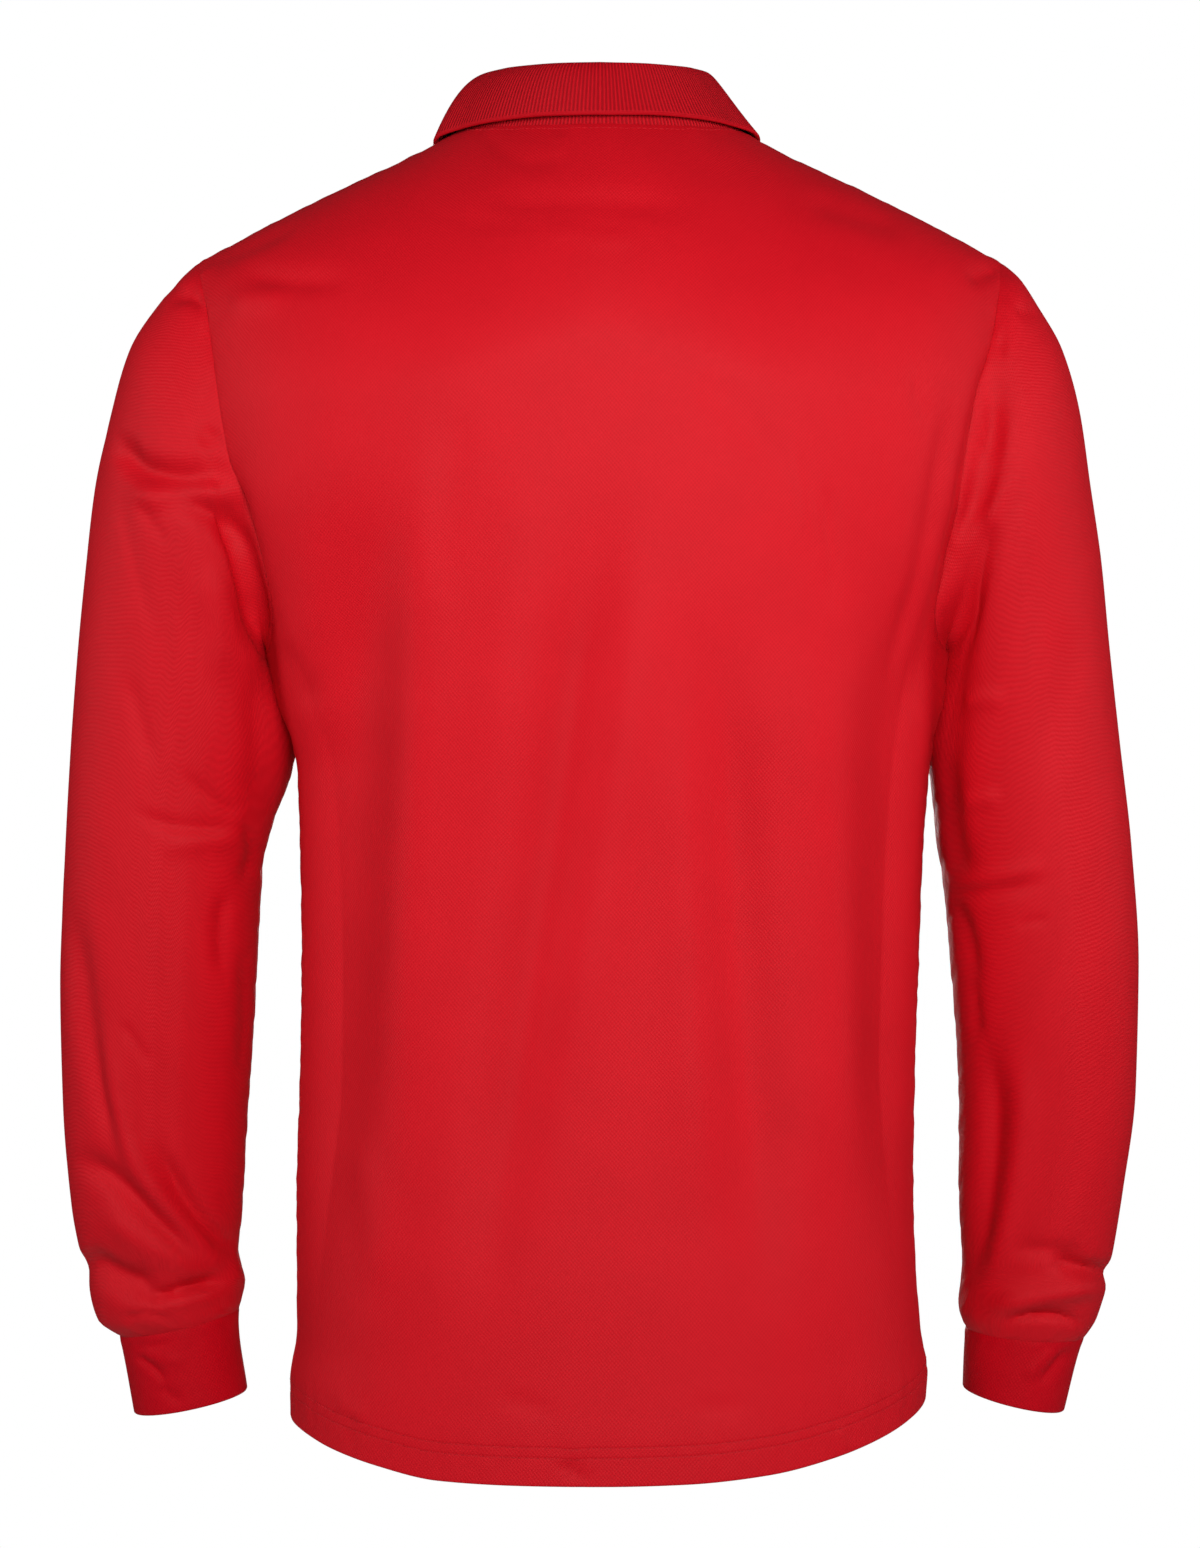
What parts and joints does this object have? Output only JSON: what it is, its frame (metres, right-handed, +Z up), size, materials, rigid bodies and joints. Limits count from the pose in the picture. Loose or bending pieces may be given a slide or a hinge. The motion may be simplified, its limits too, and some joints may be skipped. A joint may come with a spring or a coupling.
{
  "type": "long-sleeve polo shirt",
  "caption": "Plain red long-sleeve polo shirt with rib-knit collar, buttoned placket and cuffs, filled out as worn, open at neck, hem and cuffs.",
  "frame": {"origin": "middle of the neck opening, at the height where the shoulder seams meet the collar, where the wearer's neck and shoulders hold the shirt", "axes": "+Z up, the front faces -Y, the wearer's left is +X"},
  "size_m": [0.6144, 0.2538, 0.7701],
  "materials": {
    "pique": "matt cotton pique knit, plain red",
    "cuff_pique": "the same cotton, double, plain red",
    "rib_knit": "flat-knit cotton rib, plain red",
    "button": "satin plastic dyed to match"
  },
  "bodies": {
    "root": {"back": "pique", "front": "pique", "sleeve_left": "pique", "sleeve_right": "pique", "placket_top": "pique", "placket_under": "pique", "cuff_left": "cuff_pique", "cuff_right": "cuff_pique", "collar": "rib_knit", "button_1": "button", "button_2": "button", "button_3": "button"}
  },
  "joints": []
}
